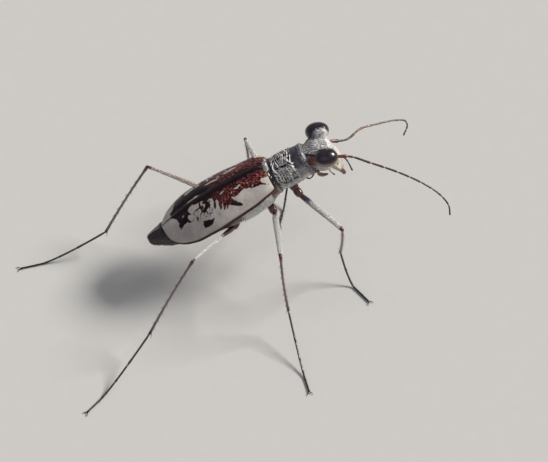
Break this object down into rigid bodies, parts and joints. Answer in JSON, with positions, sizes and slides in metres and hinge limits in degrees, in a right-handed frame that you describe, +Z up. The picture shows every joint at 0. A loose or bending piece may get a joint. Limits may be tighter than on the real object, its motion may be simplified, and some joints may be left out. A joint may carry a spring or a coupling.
{
  "type": "tiger beetle",
  "caption": "Still, life-size tiger beetle standing high on long thin legs, head raised, with big eyes, curved feelers and white wing cases with dark lacerate markings.",
  "frame": {"origin": "middle of the footprint of the whole beetle with its legs and feelers, on the level that the feet stand on", "axes": "+X from tail to head, +Y to the beetle's left, +Z up"},
  "size_m": [0.0218, 0.0144, 0.0079],
  "materials": {
    "wing_case": "ivory white shell with lacerate purple-brown and coppery markings, satin",
    "thorax_side": "dark metallic cuticle under dense white hair",
    "abdomen": "glossy black-brown cuticle",
    "prothorax": "wrinkled grey-purple metallic cuticle with flat white hair",
    "head": "finely wrinkled silver-grey metallic cuticle",
    "eye": "polished dark purple-brown, finely faceted",
    "ivory": "ivory cuticle with dark edges, satin",
    "palp_pale": "pale cuticle with white hair, dark last joint",
    "palp_dark": "dark cuticle, satin",
    "antenna_base": "reddish brown to metallic green cuticle, satin",
    "antenna": "dark brown, finely downy",
    "hip": "glossy maroon cuticle",
    "femur": "maroon and purple cuticle under white hair",
    "tibia": "brown-purple cuticle, satin",
    "tarsus": "black-green metallic cuticle"
  },
  "bodies": {
    "root": {"elytron_right": "wing_case", "elytron_left": "wing_case", "mesothorax": "thorax_side", "metathorax": "thorax_side", "abdomen": "abdomen", "prothorax": "prothorax", "head": "head", "eye_right": "eye", "eye_left": "eye", "labrum": "ivory", "mandible_right": "ivory", "mandible_left": "ivory", "maxillary_palp_right": "palp_dark", "maxillary_palp_left": "palp_dark", "labial_palp_right": "palp_pale", "labial_palp_left": "palp_pale", "antenna_right_base": "antenna_base", "antenna_right_middle": "antenna", "antenna_right_tip": "antenna", "antenna_left_base": "antenna_base", "antenna_left_middle": "antenna", "antenna_left_tip": "antenna", "coxa_front_right": "hip", "femur_front_right": "femur", "tibia_front_right": "tibia", "tarsus_front_right": "tarsus", "coxa_front_left": "hip", "femur_front_left": "femur", "tibia_front_left": "tibia", "tarsus_front_left": "tarsus", "coxa_middle_right": "hip", "femur_middle_right": "femur", "tibia_middle_right": "tibia", "tarsus_middle_right": "tarsus", "coxa_middle_left": "hip", "femur_middle_left": "femur", "tibia_middle_left": "tibia", "tarsus_middle_left": "tarsus", "coxa_hind_right": "hip", "femur_hind_right": "femur", "tibia_hind_right": "tibia", "tarsus_hind_right": "tarsus", "coxa_hind_left": "hip", "femur_hind_left": "femur", "tibia_hind_left": "tibia", "tarsus_hind_left": "tarsus"}
  },
  "joints": []
}
